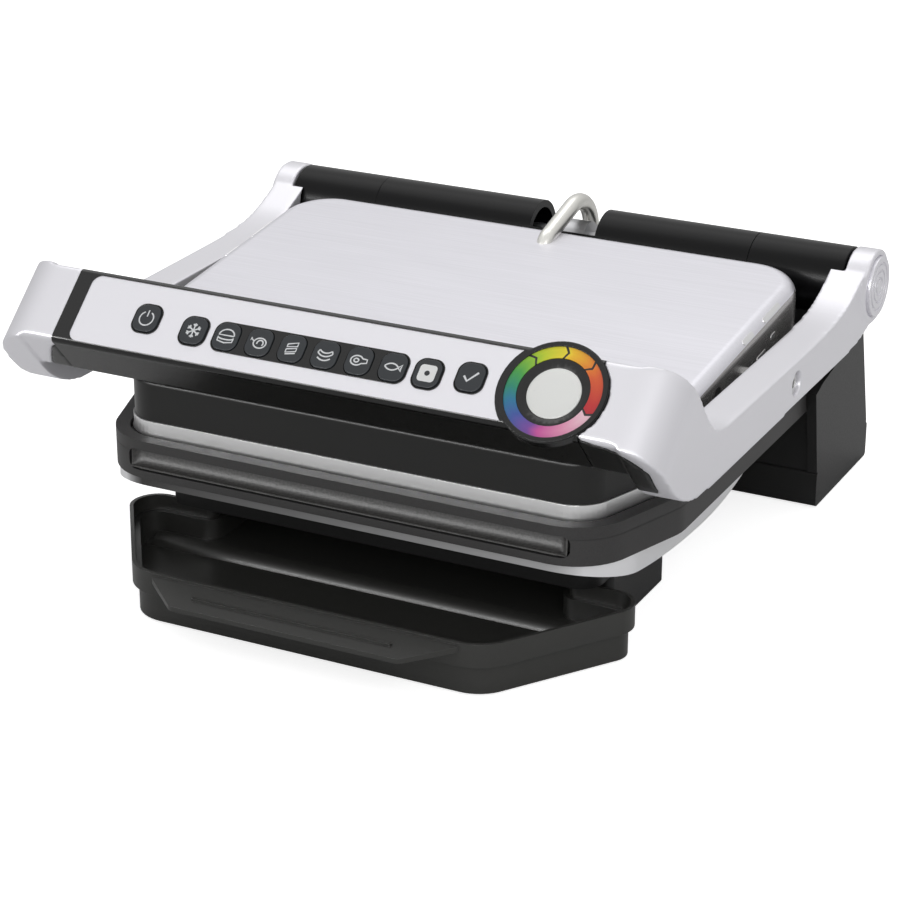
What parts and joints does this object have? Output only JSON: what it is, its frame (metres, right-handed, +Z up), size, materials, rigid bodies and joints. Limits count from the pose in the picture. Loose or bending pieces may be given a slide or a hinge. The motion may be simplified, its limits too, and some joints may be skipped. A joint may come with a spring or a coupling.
{
  "type": "electric indoor grill",
  "caption": "Electric indoor contact grill with a hinged lid on two arms, a control bar handle, a floating upper plate and a pull-out drip tray.",
  "frame": {"origin": "middle of the bounding box's bottom, on the table, under the closed grill", "axes": "+Z up, +X to the right seen from the front, +Y to the back, where the hinge is"},
  "size_m": [0.36, 0.381, 0.1699],
  "materials": {
    "silver_shell": "satin silver paint on plastic",
    "textured_rim": "fine spark texture",
    "black_plastic": "satin",
    "barrel_black": "satin",
    "bush_plastic": "plain",
    "coated_plate": "die-cast, with a dark speckled non-stick coating",
    "heater_steel": "oxidised",
    "pan_metal": "bright",
    "sensor_brass": "plain",
    "board_green": "lacquered",
    "rubber": "matt",
    "screw_steel": "zinc plated",
    "tray_black": "semi-gloss",
    "catch_grey": "satin",
    "silver_arm": "die-cast, satin silver paint",
    "pin_chrome": "bright",
    "conduit_chrome": "satin",
    "bar_black": "satin gloss",
    "bezel_gloss": "gloss",
    "facia_brushed": "brushed, satin",
    "ring_colours": "printed ring of colours",
    "lens_white": "frosted light guide",
    "cover_steel": "fine brushed grain",
    "skirt_black": "satin",
    "trim_silver": "polished",
    "key_slate": "satin slate grey with a silver symbol"
  },
  "bodies": {
    "base": {"base_shell": "silver_shell", "base_rim": "textured_rim", "pedestal": "black_plastic", "rear_housing": "black_plastic", "rear_foot": "black_plastic", "barrel_left": "barrel_black", "barrel_middle": "barrel_black", "barrel_right": "barrel_black", "hinge_bushes": "bush_plastic", "lower_plate": "coated_plate", "lower_heater": "heater_steel", "lower_reflector": "pan_metal", "lower_sensor": "sensor_brass", "power_board": "board_green", "cord_gland": "rubber", "rubber_feet": "rubber", "base_screws": "screw_steel"},
    "lid": {"arm_left": "silver_arm", "arm_right": "silver_arm", "arm_liner_left": "black_plastic", "arm_liner_right": "black_plastic", "hub_cap_left": "silver_arm", "hub_cap_right": "silver_arm", "hinge_shaft": "screw_steel", "pivot_pins": "pin_chrome", "conduit": "conduit_chrome", "conduit_clamp": "screw_steel", "handle_housing": "bar_black", "bar_screws": "screw_steel", "bezel": "bezel_gloss", "facia": "facia_brushed", "key_surrounds": "bezel_gloss", "key_mat": "rubber", "control_board": "board_green", "dial_surround": "bezel_gloss", "dial_ring": "ring_colours", "light_lens": "lens_white"},
    "upper_housing": {"top_cover": "cover_steel", "upper_skirt": "skirt_black", "trim_band": "trim_silver", "upper_plate": "coated_plate", "upper_heater": "heater_steel", "upper_reflector": "pan_metal", "upper_sensor": "sensor_brass", "pivot_brackets": "screw_steel"},
    "tray": {"drip_tray": "tray_black"},
    "lower_catch": {"lower_release": "catch_grey"},
    "upper_catch": {"upper_release": "catch_grey"},
    "key_power_body": {"key_power": "key_slate"},
    "key_frozen_body": {"key_frozen": "key_slate"},
    "key_program_1_body": {"key_program_1": "key_slate"},
    "key_program_2_body": {"key_program_2": "key_slate"},
    "key_program_3_body": {"key_program_3": "key_slate"},
    "key_program_4_body": {"key_program_4": "key_slate"},
    "key_program_5_body": {"key_program_5": "key_slate"},
    "key_program_6_body": {"key_program_6": "key_slate"},
    "key_manual_body": {"key_manual": "key_slate"},
    "key_ok_body": {"key_ok": "key_slate"}
  },
  "joints": [
    {"name": "lid_hinge", "type": "hinge", "parent": "base", "child": "lid", "pos_m": [0, 0.1295, 0.1235], "axis": [-1, 0, 0], "range_deg": [0, 100]},
    {"name": "lid_float", "type": "hinge", "parent": "lid", "child": "upper_housing", "pos_m": [0, 0.0145, 0.1085], "axis": [1, 0, 0], "range_deg": [0, 6]},
    {"name": "tray_slide", "type": "slide", "parent": "base", "child": "tray", "axis": [0, -1, 0], "range_m": [0, 0.15]},
    {"name": "lower_release_press", "type": "slide", "parent": "base", "child": "lower_catch", "axis": [1, 0, 0], "range_m": [0, 0.003], "stiffness_N_per_m": 1200, "springref_m": -0.002},
    {"name": "upper_release_press", "type": "slide", "parent": "upper_housing", "child": "upper_catch", "axis": [1, 0, 0], "range_m": [0, 0.003], "stiffness_N_per_m": 1200, "springref_m": -0.002},
    {"name": "key_power_press", "type": "slide", "parent": "lid", "child": "key_power_body", "axis": [0, 0.6626, -0.749], "range_m": [0, 0.0008], "stiffness_N_per_m": 1500, "springref_m": -0.001},
    {"name": "key_frozen_press", "type": "slide", "parent": "lid", "child": "key_frozen_body", "axis": [0, 0.6626, -0.749], "range_m": [0, 0.0008], "stiffness_N_per_m": 1500, "springref_m": -0.001},
    {"name": "key_program_1_press", "type": "slide", "parent": "lid", "child": "key_program_1_body", "axis": [0, 0.6626, -0.749], "range_m": [0, 0.0008], "stiffness_N_per_m": 1500, "springref_m": -0.001},
    {"name": "key_program_2_press", "type": "slide", "parent": "lid", "child": "key_program_2_body", "axis": [0, 0.6626, -0.749], "range_m": [0, 0.0008], "stiffness_N_per_m": 1500, "springref_m": -0.001},
    {"name": "key_program_3_press", "type": "slide", "parent": "lid", "child": "key_program_3_body", "axis": [0, 0.6626, -0.749], "range_m": [0, 0.0008], "stiffness_N_per_m": 1500, "springref_m": -0.001},
    {"name": "key_program_4_press", "type": "slide", "parent": "lid", "child": "key_program_4_body", "axis": [0, 0.6626, -0.749], "range_m": [0, 0.0008], "stiffness_N_per_m": 1500, "springref_m": -0.001},
    {"name": "key_program_5_press", "type": "slide", "parent": "lid", "child": "key_program_5_body", "axis": [0, 0.6626, -0.749], "range_m": [0, 0.0008], "stiffness_N_per_m": 1500, "springref_m": -0.001},
    {"name": "key_program_6_press", "type": "slide", "parent": "lid", "child": "key_program_6_body", "axis": [0, 0.6626, -0.749], "range_m": [0, 0.0008], "stiffness_N_per_m": 1500, "springref_m": -0.001},
    {"name": "key_manual_press", "type": "slide", "parent": "lid", "child": "key_manual_body", "axis": [0, 0.6626, -0.749], "range_m": [0, 0.0008], "stiffness_N_per_m": 1500, "springref_m": -0.001},
    {"name": "key_ok_press", "type": "slide", "parent": "lid", "child": "key_ok_body", "axis": [0, 0.6626, -0.749], "range_m": [0, 0.0008], "stiffness_N_per_m": 1500, "springref_m": -0.001}
  ],
  "couplings": [
    {"joint": "lid_float", "follows": "lid_hinge", "ratio": 0.06}
  ]
}
